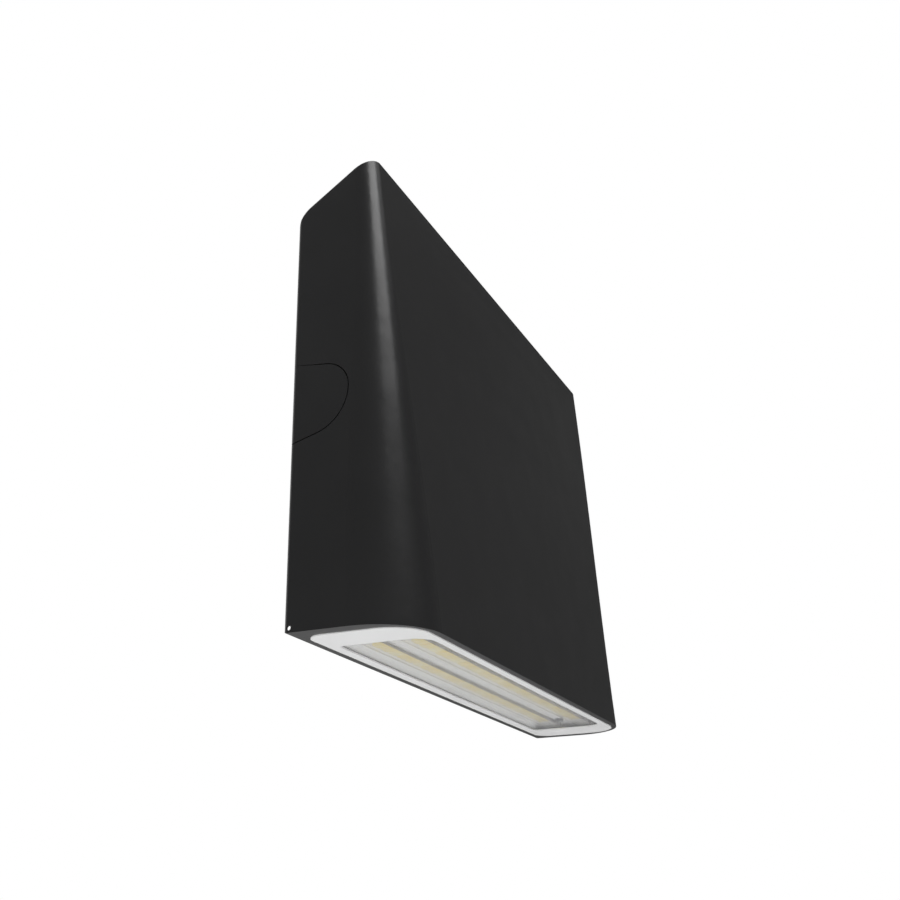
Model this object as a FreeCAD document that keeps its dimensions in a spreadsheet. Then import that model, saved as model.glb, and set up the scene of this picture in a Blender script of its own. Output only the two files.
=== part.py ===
import FreeCAD, Part
import math
import os
import re

import Sketcher

# A slim LED wall pack light. X runs to the right, Y into the wall and Z up, in millimetres.
# Heights below are measured from the underside of the housing; every sub-part is then placed
# so that the origin is the centre of the wire entry on the wall face (y = 0).

SIZES = {
    "overcut": 1,                # how far a cutter runs past the face it opens
    # housing casting
    "width": 254,                # overall width
    "height": 163,               # height of the back edge
    "top_rise": 20.7,            # how much higher the front edge of the top is
    "depth": 48.5,               # depth of the underside
    "top_depth": 31.0,           # depth at the top
    "back_gap": 0.8,             # wall to the back edges of the housing
    "side_wall": 2.0,
    "front_wall": 2.5,
    "top_wall": 2.5,
    "front_round_low": 24,       # radius of the front upright edges at the underside
    "front_round_high": 7.5,     # the same at the top
    "back_round_high": 11.6,     # rounding of the top back edge
    "back_round_low": 1,         # rounding of the bottom back edge
    "back_corner": 1.5,          # radius of the back upright edges
    # underside: opening for the light engine
    "rim_side": 6.3,
    "rim_front": 2.8,
    "rim_back": 4.0,
    "rim_corner_front": 14.6,
    "rim_corner_back": 7,
    "light_depth": 8.0,          # depth of the light compartment
    "shelf": 2.5,                # cast shelf over the light compartment
    # finned heat sink on the shelf
    "sink_gap": 2.4,             # end of the heat sink to a screw boss
    "sink_base": 2,
    "sink_back": 16,             # back plane to the back of the heat sink
    "sink_front": 40,            # back plane to its front
    "fin_thickness": 1.4,
    "fin_height": 10,
    "fin_pitch": 4,
    # drain holes in the low back corners
    "drain_radius": 0.85,
    "drain_in": 2.0,             # back plane to the hole
    "drain_up": 1.7,             # underside to the hole
    "drain_skin": 0.8,           # floor left under the drain channel
    "drain_side_skin": 1.0,      # side wall left at the drain hole
    "drain_channel": 6.0,        # width of the channel inside the side wall
    "drain_depth": 3.4,
    # side conduit entries
    "entry_up": 88.3,            # height of the foremost point of the opening
    "entry_reach": 22.8,         # back plane to the foremost point
    "entry_round_high": 9.7,
    "entry_round_low": 17.2,
    "entry_low": 68.9,           # height of the slanted lower edge at the back plane
    "entry_high": 99.9,          # height of the upper edge at the back plane
    "entry_seam": 0.4,           # gap between entry cover and housing
    "entry_seam_back": 0.1,      # the same at the back end of the upper edge
    "conduit_in": 12,            # wall to the conduit axis
    "conduit_up": 85.1,
    "conduit_bore": 10.3,        # radius for half inch conduit thread
    "hub_wall": 2.2,
    "hub_length": 20,
    "hub_gap": 1.0,              # hub face to the inner face of the side wall
    "hub_fit": 0.1,              # clearance of a hub in its seat in the plate
    "hub_foot": 2.5,
    "hub_foot_length": 11,
    "hub_foot_half": 18,
    "spigot_gap": 0.3,
    "spigot_length": 13,
    "spigot_wall": 2.9,
    "seal_wire": 0.95,           # section radius of the entry seal
    "seal_gap": 0.05,
    "groove_half": 1.2,
    # hinge
    "hinge_in": 7.6,             # wall to the hinge axis
    "hinge_drop": 4.5,           # top of the back edge to the hinge axis
    "hinge_side": 33,            # side of the housing to the middle of a knuckle
    "pin_radius": 2.0,
    "pin_play": 0.06,            # radial running clearance in the knuckle
    "pin_grip": 0.01,            # radial clearance in the housing lugs
    "knuckle_radius": 4.6,
    "knuckle_width": 8,
    "knuckle_gap": 0.3,          # side gap between knuckle and lug
    "lug_width": 6,
    "lug_rise": 14,
    "arm_depth": 8.8,
    # wall plate
    "plate_side": 8,             # side of the housing to the edge of the plate
    "plate_low": 14,
    "plate_drop": 14,            # top of the back edge to the edge of the plate
    "plate_thickness": 3,
    "plate_rim": 6,              # how far the rim stands in front of the plate
    "plate_rim_wall": 2.5,
    "plate_corner": 8,
    "gasket_thickness": 1.5,
    "gasket_band": 7,
    "gasket_inset": 1,
    "entry_height": 80,          # centre of the wire entry above the underside
    "entry_hole": 11,
    "grommet_bore": 8,
    "grommet_lip": 2.5,
    "grommet_lip_thickness": 1.6,
    "grommet_gap": 0.1,
    "bolt_side": 24,             # edge of the plate to a wall hole
    "bolt_span_z": 96,
    "bolt_radius": 2.8,
    "box_span": 88.9,            # hole spacing of a four inch junction box
    "box_hole_radius": 2.4,
    "ground_out": 40,
    "ground_up": 50,
    "ground_boss_radius": 5,
    "ground_boss_height": 5,
    "ground_thread": 2.0,
    "ground_head_radius": 4,
    "ground_head": 2.4,
    "ground_slot": 1.0,
    "thread_gap": 0.05,
    # friction springs
    "spring_width": 5.5,
    "spring_in": 3.0,            # wall to the edge of the spring
    "spring_thickness": 0.5,
    "spring_low": 26,
    "spring_length": 40,
    "spring_foot": 7,
    "spring_crest": 8,
    "spring_clearance": 0.1,     # crest to the side wall
    "rivet_radius": 1.2,
    "rivet_head_radius": 2.2,
    "rivet_head": 0.8,
    # bezel, lens and gasket
    "bezel_gap": 0.15,
    "bezel_proud": 0.3,
    "bezel_plate": 1.3,
    "bezel_skirt": 1.3,
    "bezel_skirt_top": 7.7,
    "lens_side": 24.9,           # side of the housing to the window
    "lens_front": 6.4,
    "lens_back": 8.6,
    "lens_corner_front": 8,
    "lens_corner_back": 1.8,
    "lens_gap": 0.35,            # shadow line round the window
    "lens_flange": 1.2,          # thickness of the flange
    "flange_side": 10,           # flange beyond the window at the sides
    "flange_ends": 1.4,          # the same at front and back
    "flange_corner": 6,
    "seal_thickness": 0.5,
    # light engine
    "board_thickness": 1.2,
    "board_side": 22,            # side of the housing to the end of the board
    "board_half_depth": 14.8,
    "tray_plate": 2.2,
    "tray_wall": 1.3,
    "row_middle": 26.3,          # wall to the middle between the two rows
    "row_pitch": 15.5,
    "led_pitch": 7,
    "led_end": 14,               # least distance from the end of a bar to the first package
    "led_length": 5,
    "led_width": 5,
    "led_height": 1,
    "bar_side": 22.5,            # side of the housing to the end of a bar
    "bar_width": 9.7,
    "bar_gap": 0.2,
    "bar_proud": 1.2,
    "bar_round": 1.0,
    "ridge_width": 0.8,
    "ridge_height": 0.5,
    "ridge_pitch": 1.2,
    "screw_side_left": 27,       # side of the housing to the left screw of the board
    "screw_side_right": 38,      # the same for the right screw
    "screw_radius": 1.25,
    "screw_head_radius": 2.0,
    "screw_head": 1.2,
    "screw_hole_gap": 0.25,
    "screw_boss_radius": 3.6,
    "screw_boss": 3.5,
    "screw_tip_gap": 0.5,
    # driver
    "driver_half": 60,
    "driver_low": 30,
    "driver_high": 66,
    "driver_back": 17,           # wall to the back of the case
    "driver_front": 35.5,
    "driver_round": 2,
    "driver_lid": 1.5,
    "driver_lid_inset": 1,
    "ear_length": 12,
    "ear_thickness": 2,
    "ear_height": 12,
    "ear_seat": 34,              # wall to the boss faces
    "driver_boss_radius": 4.2,
    "driver_screw_depth": 5,
    # selector switch on the driver
    "switch_half": 22,
    "switch_up": 52,
    "switch_half_height": 5,
    "switch_thickness": 3,
    "slider_out": 11,            # middle of a slot from the middle of the switch
    "slot_half": 5.2,
    "slot_half_height": 1.7,
    "slot_floor": 1,
    "slider_half": 1.5,
    "slider_play": 0.1,
    "slider_proud": 1.4,
    # leads
    "lead_radius": 1.05,
    "lead_hole_side": 24.5,      # side of the housing to the lead hole
    "lead_hole_in": 24,
    "lead_hole": 3.6,
    "lead_grommet_wall": 1.4,
    "lead_grommet_lip": 1.2,
    "lead_grommet_lip_thickness": 1.2,
    "lead_grommet_gap": 0.1,
    "output_up": 40,
    "output_shift": 1.3,
    "output_spread": 2,
    "supply_up": 42,
    "supply_pitch": 5,
    "supply_in": 24,
    # supply connector
    "supply_length": 15,
    "connector_length": 18,
    "connector_back": 18,
    "connector_front": 31,
    "connector_round": 1.5,
    "connector_margin": 4,
}

NOTES = {
    "lean": "((depth - top_depth) / (height + top_rise))",
    "slope": "(top_rise / top_depth)",
    "half": "(width / 2)",
    "inside": "(width / 2 - side_wall)",
    "shelf_top": "(light_depth + shelf)",
    "screw_left": "(width / 2 - screw_side_left)",
    "screw_right": "(width / 2 - screw_side_right)",
    "sink_half": "(width / 2 - screw_side_right - screw_boss_radius - sink_gap)",
    "hub_root": "(width / 2 - side_wall - hub_gap - hub_length)",
    "hinge_up": "(height - hinge_drop)",
    "hinge_out": "(width / 2 - hinge_side)",
    "plate_half": "(width / 2 - plate_side)",
    "plate_high": "(height - plate_drop)",
    "bolt_out": "(width / 2 - plate_side - bolt_side)",
    "board_half": "(width / 2 - board_side)",
    "bar_half": "(width / 2 - bar_side)",
    "lead_hole_out": "(width / 2 - lead_hole_side)",
    "plate_face": "(gasket_thickness + plate_thickness)",
    "rim_face": "(gasket_thickness + plate_thickness + plate_rim)",
    "board_face": "(light_depth - board_thickness)",
    "tray_face": "(light_depth - board_thickness - tray_plate)",
    "seal_face": "(bezel_plate - bezel_proud)",
    "lens_seat": "(bezel_plate - bezel_proud + seal_thickness)",
    "lens_back_face": "(bezel_plate - bezel_proud + seal_thickness + lens_flange)",
    "seal_out": "(width / 2 - side_wall - spigot_length / 2)",
    "groove_floor": "(conduit_bore - 2 * seal_wire - seal_gap)",
    "lug_near": "(width / 2 - hinge_side - knuckle_width / 2 - knuckle_gap - lug_width)",
    "lug_far": "(width / 2 - hinge_side + knuckle_width / 2 + knuckle_gap + lug_width)",
    "driver_middle": "((driver_low + driver_high) / 2)",
    "ear_out": "(driver_half + ear_length / 2)",
    "ground_seat": "(gasket_thickness + plate_thickness + ground_boss_height)",
    "switch_seat": "(driver_back - driver_lid)",
    "connector_low": "(supply_up - supply_pitch - connector_margin)",
    "connector_high": "(supply_up + supply_pitch + connector_margin)",
    "connector_left": "(-driver_half - supply_length - connector_length)",
    "connector_right": "(-driver_half - supply_length)",
    "lead_lip_top": "(light_depth + shelf + lead_grommet_lip_thickness)",
    "lead_sleeve": "(lead_hole + lead_grommet_wall)",
}

doc = FreeCAD.newDocument("wall_pack_light")
sheet = doc.addObject("Spreadsheet::Sheet", "Sizes")
for row, (alias, size) in enumerate(SIZES.items(), 1):
    sheet.set(f"A{row}", alias)
    sheet.set(f"B{row}", str(size))
    sheet.setAlias(f"B{row}", alias)
doc.recompute()


def linked(formula):
    """A formula in plain size names, written out with the cells of the sheet."""
    def cell(match):
        name = match.group(0)
        if name in NOTES:
            return linked(NOTES[name])
        return f"Sizes.{name}" if name in SIZES else name
    return re.sub(r"[a-z_]+", cell, formula)


def bind(piece, what, formula):
    piece.setExpression(what, linked(formula))


def value(formula):
    return float(sheet.evalExpression(linked(formula)))


def box(name, x, y, z):
    """A block between two formulas along each axis."""
    piece = doc.addObject("Part::Box", name)
    for side, axis, (low, high) in zip(("Length", "Width", "Height"), "xyz", (x, y, z)):
        bind(piece, side, f"({high}) - ({low})")
        bind(piece, f"Placement.Base.{axis}", low)
    return piece


CLOSE = 1e-3  # two places nearer than this are the same

TURNS = {
    "x": FreeCAD.Rotation(FreeCAD.Vector(0, 1, 0), 90),
    "y": FreeCAD.Rotation(FreeCAD.Vector(1, 0, 0), -90),
    "z": FreeCAD.Rotation(),
}


def rod(name, axis, centre, radius, low, high):
    """A cylinder along an axis, between low and high, round the other two coordinates."""
    piece = doc.addObject("Part::Cylinder", name)
    piece.Placement = FreeCAD.Placement(FreeCAD.Vector(), TURNS[axis])
    bind(piece, "Radius", radius)
    bind(piece, "Height", f"({high}) - ({low})")
    across = [other for other in "xyz" if other != axis]
    bind(piece, f"Placement.Base.{axis}", low)
    for other, place in zip(across, centre):
        bind(piece, f"Placement.Base.{other}", place)
    return piece


def fuse(name, pieces):
    piece = doc.addObject("Part::MultiFuse", name)
    piece.Shapes = pieces
    return piece


def cut(name, base, tools):
    piece = doc.addObject("Part::Cut", name)
    piece.Base = base
    piece.Tool = tools[0] if len(tools) == 1 else fuse(name + "_tools", tools)
    return piece


def common(name, first, second):
    piece = doc.addObject("Part::Common", name)
    piece.Base = first
    piece.Tool = second
    return piece


def group(name, pieces):
    """Separate solids that share one node."""
    piece = doc.addObject("Part::Compound", name)
    piece.Links = pieces
    return piece


def new_body(name):
    return doc.addObject("PartDesign::Body", name)


def new_sketch(body, name, plane, lift="0"):
    sketch = body.newObject("Sketcher::SketchObject", name)
    support = [plane_of for plane_of in body.Origin.OriginFeatures if plane_of.Role == plane]
    sketch.AttachmentSupport = (support[0], [""])
    sketch.MapMode = "FlatFace"
    bind(sketch, "AttachmentOffset.Base.z", lift)
    return sketch


def pin_point(sketch, geometry, end, x, y):
    """Fixes one point of a sketch at two formulas from the origin."""
    for kind, formula in (("DistanceX", x), ("DistanceY", y)):
        number = sketch.addConstraint(
            Sketcher.Constraint(kind, -1, 1, geometry, end, value(formula)))
        bind(sketch, f"Constraints[{number}]", formula)


def outline(sketch, corners):
    """A closed outline of straight edges through corners, each a pair of formulas."""
    first = sketch.GeometryCount
    points = [FreeCAD.Vector(value(x), value(y), 0) for x, y in corners]
    count = len(points)
    for index, point in enumerate(points):
        sketch.addGeometry(Part.LineSegment(point, points[(index + 1) % count]))
    for index in range(count):
        following = (index + 1) % count
        sketch.addConstraint(
            Sketcher.Constraint("Coincident", first + index, 2, first + following, 1))
    for index, (x, y) in enumerate(corners):
        pin_point(sketch, first + index, 1, x, y)


def rectangle(sketch, left, right, low, high):
    outline(sketch, [(left, low), (right, low), (right, high), (left, high)])


def circle(sketch, x, y, radius):
    number = sketch.GeometryCount
    middle = FreeCAD.Vector(value(x), value(y), 0)
    sketch.addGeometry(Part.Circle(middle, FreeCAD.Vector(0, 0, 1), value(radius)))
    pin_point(sketch, number, 3, x, y)
    size = sketch.addConstraint(Sketcher.Constraint("Radius", number, value(radius)))
    bind(sketch, f"Constraints[{size}]", radius)


def pad(body, sketch, length, both_ways=False):
    feature = body.newObject("PartDesign::Pad", sketch.Name + "_pad")
    feature.Profile = sketch
    bind(feature, "Length", length)
    if both_ways:
        feature.SideType = "Symmetric"
    sketch.Visibility = False
    doc.recompute()
    return feature


def pocket(body, sketch, depth=None, along=False):
    """Cuts against the sketch normal, or along it."""
    feature = body.newObject("PartDesign::Pocket", sketch.Name + "_pocket")
    feature.Profile = sketch
    feature.Reversed = along
    if depth:
        bind(feature, "Length", depth)
    else:
        feature.Type = "ThroughAll"
    sketch.Visibility = False
    doc.recompute()
    if feature.Shape.Volume > feature.BaseFeature.Shape.Volume - CLOSE:
        raise RuntimeError(f"{feature.Name} cuts nothing")
    return feature


def edge_names(shape, test):
    return [f"Edge{number}" for number, edge in enumerate(shape.Edges, 1) if test(edge)]


def ends(edge):
    return edge.Vertexes[0].Point, edge.Vertexes[-1].Point


def through_plate(edge):
    """Tests for an edge that runs along Y."""
    if len(edge.Vertexes) != 2:
        return False
    first, last = ends(edge)
    return abs(first.x - last.x) < CLOSE and abs(first.z - last.z) < CLOSE


def upright_at(sign_y, middle_y):
    """Tests for straight upright edges in front of (-1) or behind (+1) a place."""
    def test(edge):
        if len(edge.Vertexes) != 2:
            return False
        low, high = ends(edge)
        upright = abs(low.x - high.x) < CLOSE and abs(low.y - high.y) < CLOSE
        return upright and (low.y - middle_y) * sign_y > 0
    return test


def round_edges(body, base, test, radius, name):
    feature = body.newObject("PartDesign::Fillet", name)
    feature.Base = (base, edge_names(base.Shape, test))
    bind(feature, "Radius", radius)
    doc.recompute()
    return feature


def window_block(name, side, front, back, corner_front, corner_back, low, high):
    """A plate with the plan of the underside, set in from the housing by the given amounts."""
    body = new_body(name)
    plan = new_sketch(body, name + "_plan", "XY_Plane", low)
    rectangle(plan, f"-(half - ({side}))", f"half - ({side})",
              f"-(back_gap + depth - ({front}))", f"-(back_gap + ({back}))")
    block = pad(body, plan, f"({high}) - ({low})")
    middle = value("-(back_gap + depth / 2)")
    block = round_edges(body, block, upright_at(-1, middle), corner_front, name + "_front_round")
    round_edges(body, block, upright_at(1, middle), corner_back, name + "_back_round")
    return body


def side_form(name, corners, span):
    """A side view on the YZ plane, extruded equally to both sides."""
    body = new_body(name)
    view = new_sketch(body, name + "_view", "YZ_Plane")
    outline(view, corners)
    return body, pad(body, view, span, both_ways=True)


def back_corners(name):
    """The plan of the housing with its back upright edges rounded, as an upright block."""
    body = new_body(name)
    plan = new_sketch(body, name + "_view", "XY_Plane", "-overcut")
    rectangle(plan, "-half", "half", "-2 * depth", "-back_gap")
    block = pad(body, plan, "height + top_rise + 2 * overcut")
    round_edges(body, block, upright_at(1, value("-depth")), "back_corner", name + "_round")
    return body


def crosswise_at(y, z):
    """Tests for an edge along X through a place in the side view."""
    def test(edge):
        if len(edge.Vertexes) != 2:
            return False
        first, last = ends(edge)
        return all(abs(end.y - y) < CLOSE and abs(end.z - z) < CLOSE for end in (first, last))
    return test


def rounded_front(name, body, low_radius, high_radius):
    """Front upright edges with a radius that shrinks steadily towards the top."""
    def leaning_upright(edge):
        if len(edge.Vertexes) != 2:
            return False
        first, last = ends(edge)
        tall = abs(first.z - last.z) > value("height / 2")
        in_front = min(first.y, last.y) < -value("depth / 2")
        return tall and in_front and abs(first.x - last.x) < CLOSE
    edges = []
    for number, edge in enumerate(body.Shape.Edges, 1):
        if leaning_upright(edge):
            upward = edge.valueAt(edge.LastParameter).z > edge.valueAt(edge.FirstParameter).z
            radii = (low_radius, high_radius) if upward else (high_radius, low_radius)
            edges.append((number, *radii))
    piece = doc.addObject("Part::Fillet", name)
    piece.Base = body
    piece.Edges = edges
    doc.recompute()
    return piece


def made(name, shape):
    """A piece whose outline needs worked-out tangent points or a swept path."""
    piece = doc.addObject("Part::Feature", name)
    piece.Shape = shape
    return piece


def finish(piece, label, height="-entry_height"):
    """Labels a sub-part and places it in the frame of the wire entry."""
    piece.Label = label
    bind(piece, "Placement.Base.z", height)
    SUB_PARTS.append(piece)
    return piece


SUB_PARTS = []


# ---------------------------------------------------------------- side conduit entries

def entry_outline(grow, grow_back, inner, outer):
    """The side entry outline, rounded in front and open to the back, between two planes in X."""
    back = -value("back_gap")
    reach = back - value("entry_reach") - grow
    up = value("entry_up")
    high = value("entry_round_high") + grow
    low = value("entry_round_low") + grow
    high_centre = FreeCAD.Vector(inner, reach + high, up)
    low_centre = FreeCAD.Vector(inner, reach + low, up)
    corner_low = FreeCAD.Vector(inner, back, value("entry_low") - grow)
    corner_high = FreeCAD.Vector(inner, back, value("entry_high") + grow_back)

    def touching(centre, radius, corner, way):
        """The angle at which a straight edge from a corner is tangent to an arc."""
        away = corner - centre
        return math.atan2(away.z, away.y) + way * math.acos(radius / away.Length)

    def on_arc(centre, radius, angle):
        return centre + FreeCAD.Vector(0, math.cos(angle), math.sin(angle)) * radius
    turn_high = touching(high_centre, high, corner_high, 1)
    turn_low = touching(low_centre, low, corner_low, -1)
    crown = on_arc(high_centre, high, turn_high)
    foremost = on_arc(high_centre, high, math.pi)
    touch = on_arc(low_centre, low, turn_low)
    middle_high = on_arc(high_centre, high, (turn_high + math.pi) / 2)
    middle_low = on_arc(low_centre, low, (turn_low - math.pi) / 2)
    edges = [
        Part.makeLine(corner_low, corner_high),
        Part.makeLine(corner_high, crown),
        Part.Arc(crown, middle_high, foremost).toShape(),
        Part.Arc(foremost, middle_low, touch).toShape(),
        Part.makeLine(touch, corner_low),
    ]
    face = Part.Face(Part.Wire(edges))
    return face.extrude(FreeCAD.Vector(outer - inner, 0, 0))


def both_sides(pieces_of):
    """Calls a maker for the left and the right side and gives the pieces of both."""
    return [piece for side, sign in (("left", "-"), ("right", "")) for piece in pieces_of(side, sign)]


def side_span(sign, near, far):
    """A span along X on one side, given by its distances from the centre line."""
    return (f"{sign}({far})", f"{sign}({near})") if sign else (near, far)


CONDUIT = ("-conduit_in", "conduit_up")


def entry_cover(side, sign):
    """Cap of a side entry: a flush face with a hollow spigot in the hub, grooved for its seal."""
    face = common(f"entry_face_{side}", made(
        f"entry_face_blank_{side}",
        entry_outline(0, 0, value(f"{sign}inside"), value(f"{sign}half"))),
        back_corners(f"entry_face_plan_{side}"))
    spigot = rod(f"spigot_{side}", "x", CONDUIT, "conduit_bore - spigot_gap",
                 *side_span(sign, "inside - spigot_length", "inside + side_wall / 2"))
    hollow = rod(f"spigot_hollow_{side}", "x", CONDUIT, "conduit_bore - spigot_gap - spigot_wall",
                 *side_span(sign, "inside - spigot_length - overcut", "inside"))
    ring_out = rod(f"groove_out_{side}", "x", CONDUIT, "conduit_bore",
                   *side_span(sign, "seal_out - groove_half", "seal_out + groove_half"))
    ring_in = rod(f"groove_in_{side}", "x", CONDUIT, "groove_floor",
                  *side_span(sign, "seal_out - groove_half - overcut",
                             "seal_out + groove_half + overcut"))
    groove = cut(f"groove_{side}", ring_out, [ring_in])
    body = cut(f"entry_cap_{side}", fuse(f"cap_blank_{side}", [face, spigot]), [hollow, groove])
    finish(body, f"entry_cover_{side}")


def entry_seals():
    def ring(side, sign):
        piece = doc.addObject("Part::Torus", f"seal_ring_{side}")
        piece.Placement = FreeCAD.Placement(FreeCAD.Vector(), TURNS["x"])
        bind(piece, "Radius1", "conduit_bore - seal_wire - seal_gap")
        bind(piece, "Radius2", "seal_wire")
        bind(piece, "Placement.Base.x", f"{sign}seal_out")
        bind(piece, "Placement.Base.y", CONDUIT[0])
        bind(piece, "Placement.Base.z", CONDUIT[1])
        return [piece]
    finish(group("seal_rings", both_sides(ring)), "entry_seals")


# ---------------------------------------------------------------- housing

HINGE = ("-hinge_in", "hinge_up")


def outer_form():
    body, block = side_form("casting", [
        ("-back_gap", "0"),
        ("-(back_gap + depth)", "0"),
        ("-(back_gap + top_depth)", "height + top_rise"),
        ("-back_gap", "height"),
    ], "width")
    back = -value("back_gap")
    block = round_edges(body, block, crosswise_at(back, value("height")), "back_round_high",
                        "top_back_round")
    round_edges(body, block, crosswise_at(back, 0), "back_round_low", "low_back_round")
    front = rounded_front("casting_front", body, value("front_round_low"), value("front_round_high"))
    return common("casting_form", front, back_corners("casting_plan"))


def cavity_form():
    """The electrical compartment, open to the back."""
    front_low = "-(back_gap + depth - front_wall - lean * shelf_top)"
    meet = "((depth - front_wall - lean * (height - top_wall)) / (1 + lean * slope))"
    body, block = side_form("cavity", [
        ("back_gap", "shelf_top"),
        (front_low, "shelf_top"),
        (f"-(back_gap + {meet})", f"height - top_wall + slope * {meet}"),
        ("back_gap", "height - top_wall - 2 * slope * back_gap"),
    ], "2 * inside")
    return rounded_front("cavity_form", body, value("front_round_low - side_wall"),
                         value("front_round_high - side_wall"))


def hinge_lugs(form):
    """Two lugs hang from the top on both sides of each knuckle."""
    def lugs(side, sign):
        pieces = []
        for place, near in (("in", "hinge_out - knuckle_width / 2 - knuckle_gap - lug_width"),
                            ("out", "hinge_out + knuckle_width / 2 + knuckle_gap")):
            span = side_span(sign, near, f"{near} + lug_width")
            pieces.append(rod(f"lug_eye_{side}_{place}", "x", HINGE, "knuckle_radius", *span))
            pieces.append(box(f"lug_web_{side}_{place}", span,
                              ("-(hinge_in + knuckle_radius)", "-(hinge_in - knuckle_radius)"),
                              ("hinge_up", "hinge_up + lug_rise")))
        return pieces
    return common("hinge_lugs", fuse("lug_blanks", both_sides(lugs)), form)


def housing():
    form = outer_form()
    doc.recompute()

    def bosses(side, sign):
        wall = "-(back_gap + depth - front_wall / 2 - lean * driver_middle)"
        return [
            rod(f"driver_boss_{side}", "y", (f"{sign}ear_out", "driver_middle"),
                "driver_boss_radius", wall, "-ear_seat"),
            rod(f"screw_boss_{side}", "z", (f"{sign}screw_{side}", "-row_middle"), "screw_boss_radius",
                "shelf_top - shelf / 2", "shelf_top + screw_boss"),
        ]
    connector_pad = box(
        "connector_pad", ("connector_left", "connector_right"),
        ("-(back_gap + depth - front_wall / 2 - lean * supply_up)", "-connector_front"),
        ("connector_low", "connector_high"))
    cast = fuse("casting_with_lugs", [
        cut("casting_shell", form, [cavity_form()]), hinge_lugs(form), connector_pad,
        *both_sides(bosses)])

    light_pocket = window_block(
        "light_compartment", "rim_side", "rim_front", "rim_back",
        "rim_corner_front", "rim_corner_back", "-overcut", "light_depth")

    def openings(side, sign):
        near = value(f"{sign}(inside - overcut)")
        far = value(f"{sign}(half + overcut)")
        return [
            made(f"entry_opening_{side}",
                 entry_outline(value("entry_seam"), value("entry_seam_back"), near, far)),
            rod(f"drain_hole_{side}", "x", ("-(back_gap + drain_in)", "drain_up"), "drain_radius",
                *side_span(sign, "inside - overcut", "half + overcut")),
            box(f"drain_channel_{side}",
                side_span(sign, "inside - drain_channel", "half - drain_side_skin"),
                ("-(back_gap + drain_depth)", "back_gap"), ("drain_skin", "shelf_top + overcut")),
            rod(f"driver_thread_{side}", "y", (f"{sign}ear_out", "driver_middle"),
                "screw_radius + thread_gap",
                "-(ear_seat + driver_screw_depth + screw_tip_gap)", "-(ear_seat - overcut)"),
            rod(f"board_thread_{side}", "z", (f"{sign}screw_{side}", "-row_middle"),
                "screw_radius + thread_gap", "light_depth - overcut",
                "shelf_top + screw_boss - screw_tip_gap"),
            rod(f"pin_hole_{side}", "x", HINGE, "pin_radius + pin_grip",
                *side_span(sign, "lug_near", "lug_far")),
        ]
    lead_hole = rod("lead_hole", "z", ("lead_hole_out", "-lead_hole_in"),
                    "lead_sleeve + lead_grommet_gap", "light_depth - overcut",
                    "shelf_top + overcut")
    finish(cut("housing_casting", cast, [light_pocket, lead_hole, *both_sides(openings)]), "housing")


def heat_sink():
    """A finned extrusion bonded to the shelf over the LED board."""
    body = new_body("sink")
    view = new_sketch(body, "sink_view", "YZ_Plane")
    count = int(value("(sink_front - sink_back - fin_thickness) / fin_pitch")) + 1
    comb = [("-(back_gap + sink_back)", "shelf_top"), ("-(back_gap + sink_front)", "shelf_top"),
            ("-(back_gap + sink_front)", "shelf_top + sink_base")]
    for index in range(count - 1, -1, -1):
        front = f"-(back_gap + sink_back + {index} * fin_pitch + fin_thickness)"
        back = f"-(back_gap + sink_back + {index} * fin_pitch)"
        foot = [(front, "shelf_top + sink_base"), (front, "shelf_top + fin_height"),
                (back, "shelf_top + fin_height")]
        comb += foot if index == 0 else foot + [(back, "shelf_top + sink_base")]
    outline(view, comb)
    pad(body, view, "2 * sink_half", both_ways=True)
    finish(body, "heat_sink")


def hinge_pins():
    def pin(side, sign):
        return [rod(f"pin_{side}", "x", HINGE, "pin_radius",
                    *side_span(sign, "lug_near", "lug_far"))]
    finish(group("pins", both_sides(pin)), "hinge_pins")


# ---------------------------------------------------------------- wall plate

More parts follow.
